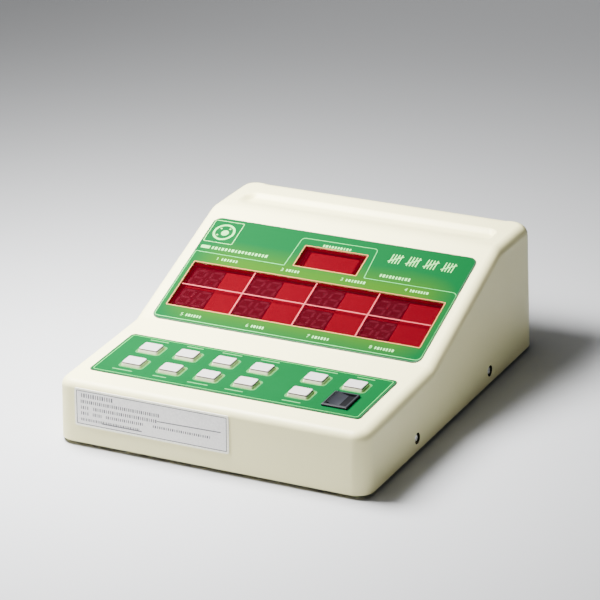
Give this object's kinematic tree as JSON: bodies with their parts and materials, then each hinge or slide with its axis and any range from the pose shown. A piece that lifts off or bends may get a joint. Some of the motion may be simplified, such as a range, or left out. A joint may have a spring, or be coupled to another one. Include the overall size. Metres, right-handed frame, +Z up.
{
  "type": "differential cell counter",
  "caption": "Bench keypad counter with a green keypad deck, white push keys, a black rocker switch and a sloped display with red windows.",
  "frame": {"origin": "middle of the overall footprint, at the bottom of the feet", "axes": "+Z up, -Y towards the user at the front, +X to the user's right"},
  "size_m": [0.23, 0.2976, 0.095],
  "materials": {
    "housing_ivory": "warm ivory moulded plastic, satin",
    "base_steel": "zinc-plated sheet steel",
    "film_green": "green printed film, semi-gloss",
    "filter_red": "transparent red acrylic, polished",
    "key_white": "white moulded plastic",
    "switch_black": "black plastic",
    "rocker_black": "glossy black plastic",
    "board_green": "glass-fibre board with green solder mask",
    "mask_white": "white plastic sheet",
    "module_dark": "dark-faced LED display module",
    "transformer_core": "varnished laminated steel",
    "ribbon_grey": "grey flat cable",
    "inlet_black": "black moulded plastic",
    "label_grey": "grey printed label",
    "foot_rubber": "black rubber",
    "screw_steel": "zinc-plated steel"
  },
  "bodies": {
    "housing": {"base_plate": "base_steel", "buzzer": "switch_black", "count_display_1": "module_dark", "count_display_2": "module_dark", "count_display_3": "module_dark", "count_display_4": "module_dark", "count_display_5": "module_dark", "count_display_6": "module_dark", "count_display_7": "module_dark", "count_display_8": "module_dark", "count_key_switch_1": "switch_black", "count_key_switch_2": "switch_black", "count_key_switch_3": "switch_black", "count_key_switch_4": "switch_black", "count_key_switch_5": "switch_black", "count_key_switch_6": "switch_black", "count_key_switch_7": "switch_black", "count_key_switch_8": "switch_black", "counts_filter": "filter_red", "display_board": "board_green", "display_film": "film_green", "display_mask": "mask_white", "display_ribbon": "ribbon_grey", "front_label": "label_grey", "function_key_switch_1": "switch_black", "function_key_switch_2": "switch_black", "function_key_switch_3": "switch_black", "fuse_holder": "inlet_black", "keypad_board": "board_green", "keypad_film": "film_green", "keypad_ribbon": "ribbon_grey", "main_board": "board_green", "power_inlet": "inlet_black", "power_switch_body": "switch_black", "rubber_foot_1": "foot_rubber", "rubber_foot_2": "foot_rubber", "rubber_foot_3": "foot_rubber", "rubber_foot_4": "foot_rubber", "side_screw_1": "screw_steel", "side_screw_2": "screw_steel", "side_screw_3": "screw_steel", "side_screw_4": "screw_steel", "top_housing": "housing_ivory", "total_display": "module_dark", "total_filter": "filter_red", "transformer": "transformer_core"},
    "count_key_1": {"count_key_1": "key_white"},
    "count_key_2": {"count_key_2": "key_white"},
    "count_key_3": {"count_key_3": "key_white"},
    "count_key_4": {"count_key_4": "key_white"},
    "count_key_5": {"count_key_5": "key_white"},
    "count_key_6": {"count_key_6": "key_white"},
    "count_key_7": {"count_key_7": "key_white"},
    "count_key_8": {"count_key_8": "key_white"},
    "function_key_1": {"function_key_1": "key_white"},
    "function_key_2": {"function_key_2": "key_white"},
    "function_key_3": {"function_key_3": "key_white"},
    "power_rocker": {"power_rocker": "rocker_black"}
  },
  "joints": [
    {"name": "count_key_1_press", "type": "slide", "parent": "housing", "child": "count_key_1", "axis": [0, 0.0366, -0.9993], "range_m": [0, 0.0015], "stiffness_N_per_m": 600, "springref_m": -0.0005},
    {"name": "count_key_2_press", "type": "slide", "parent": "housing", "child": "count_key_2", "axis": [0, 0.0366, -0.9993], "range_m": [0, 0.0015], "stiffness_N_per_m": 600, "springref_m": -0.0005},
    {"name": "count_key_3_press", "type": "slide", "parent": "housing", "child": "count_key_3", "axis": [0, 0.0366, -0.9993], "range_m": [0, 0.0015], "stiffness_N_per_m": 600, "springref_m": -0.0005},
    {"name": "count_key_4_press", "type": "slide", "parent": "housing", "child": "count_key_4", "axis": [0, 0.0366, -0.9993], "range_m": [0, 0.0015], "stiffness_N_per_m": 600, "springref_m": -0.0005},
    {"name": "count_key_5_press", "type": "slide", "parent": "housing", "child": "count_key_5", "axis": [0, 0.0366, -0.9993], "range_m": [0, 0.0015], "stiffness_N_per_m": 600, "springref_m": -0.0005},
    {"name": "count_key_6_press", "type": "slide", "parent": "housing", "child": "count_key_6", "axis": [0, 0.0366, -0.9993], "range_m": [0, 0.0015], "stiffness_N_per_m": 600, "springref_m": -0.0005},
    {"name": "count_key_7_press", "type": "slide", "parent": "housing", "child": "count_key_7", "axis": [0, 0.0366, -0.9993], "range_m": [0, 0.0015], "stiffness_N_per_m": 600, "springref_m": -0.0005},
    {"name": "count_key_8_press", "type": "slide", "parent": "housing", "child": "count_key_8", "axis": [0, 0.0366, -0.9993], "range_m": [0, 0.0015], "stiffness_N_per_m": 600, "springref_m": -0.0005},
    {"name": "function_key_1_press", "type": "slide", "parent": "housing", "child": "function_key_1", "axis": [0, 0.0366, -0.9993], "range_m": [0, 0.0015], "stiffness_N_per_m": 600, "springref_m": -0.0005},
    {"name": "function_key_2_press", "type": "slide", "parent": "housing", "child": "function_key_2", "axis": [0, 0.0366, -0.9993], "range_m": [0, 0.0015], "stiffness_N_per_m": 600, "springref_m": -0.0005},
    {"name": "function_key_3_press", "type": "slide", "parent": "housing", "child": "function_key_3", "axis": [0, 0.0366, -0.9993], "range_m": [0, 0.0015], "stiffness_N_per_m": 600, "springref_m": -0.0005},
    {"name": "power_rocker_tilt", "type": "hinge", "parent": "housing", "child": "power_rocker", "pos_m": [0.078, -0.1084, 0.04616], "axis": [0, 0.9993, 0.0366], "range_deg": [-20, 0]}
  ]
}
